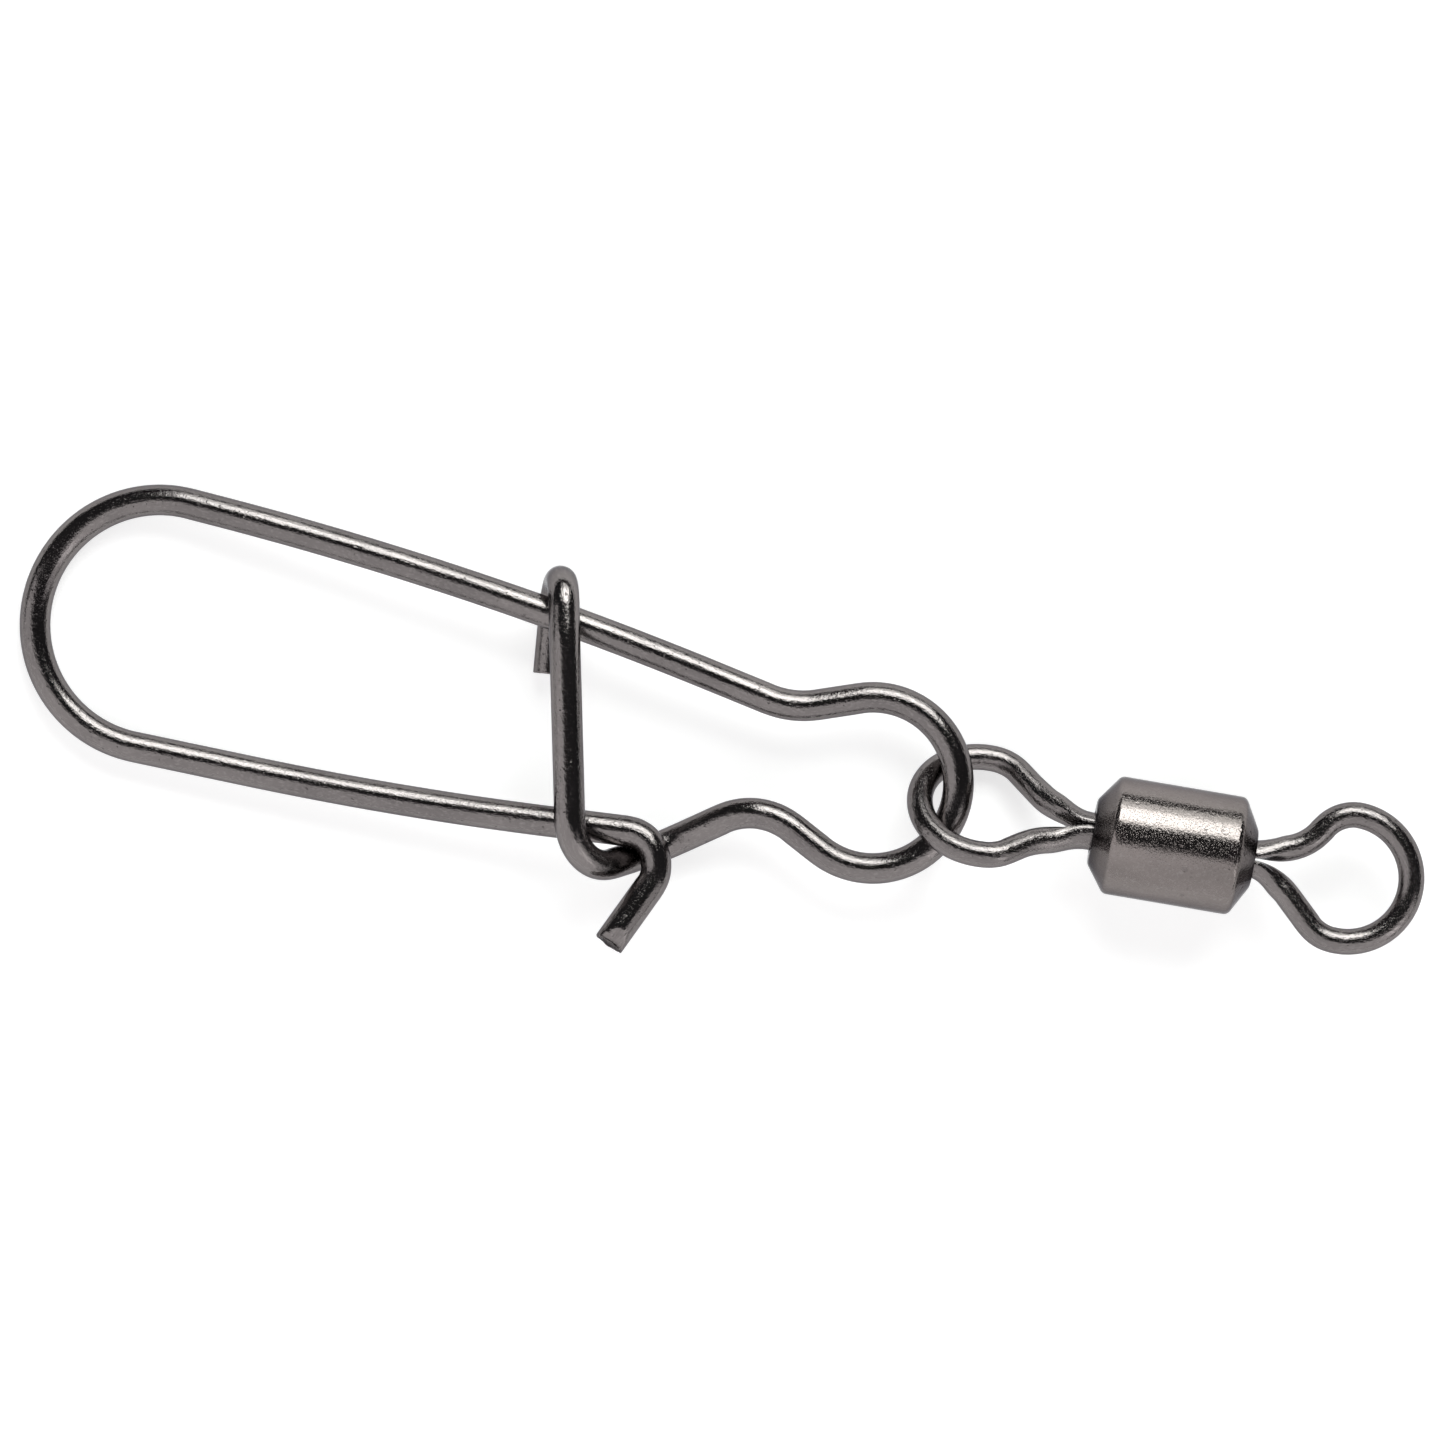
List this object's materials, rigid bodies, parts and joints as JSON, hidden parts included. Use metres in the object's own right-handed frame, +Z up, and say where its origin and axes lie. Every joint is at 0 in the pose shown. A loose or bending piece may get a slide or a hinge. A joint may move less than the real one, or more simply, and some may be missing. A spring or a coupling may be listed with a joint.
{
  "type": "fishing snap swivel",
  "caption": "Snap swivel: a bent-wire safety snap with a hooked latch bar, threaded through one eye of a rolling barrel swivel.",
  "frame": {"origin": "on the table, under the middle of the whole part as it lies", "axes": "+X along the barrel's axis towards the line eye, +Y across it on the side of the latch hook, +Z up from the table"},
  "size_m": [0.0432, 0.0118, 0.0036],
  "materials": {
    "snap_wire": "polished",
    "eye_wire": "polished",
    "barrel_shell": "satin"
  },
  "bodies": {
    "snap": {"snap_wire": "snap_wire"},
    "near_eye": {"snap_eye": "eye_wire"},
    "shell": {"barrel": "barrel_shell"},
    "far_eye": {"line_eye": "eye_wire"}
  },
  "joints": [
    {"name": "link_swing", "type": "hinge", "parent": "snap", "child": "near_eye", "pos_m": [0.0047, 0.00055, 0.00153], "axis": [-0.0408, 0.002, 0.9992], "range_deg": [-80, 100]},
    {"name": "barrel_spin", "type": "hinge", "parent": "near_eye", "child": "shell", "pos_m": [0.01397, 0.00022, 0.00184], "axis": [1, 0, 0], "continuous": true},
    {"name": "line_eye_spin", "type": "hinge", "parent": "shell", "child": "far_eye", "pos_m": [0.01397, 0.00022, 0.00184], "axis": [1, 0, 0], "continuous": true}
  ]
}
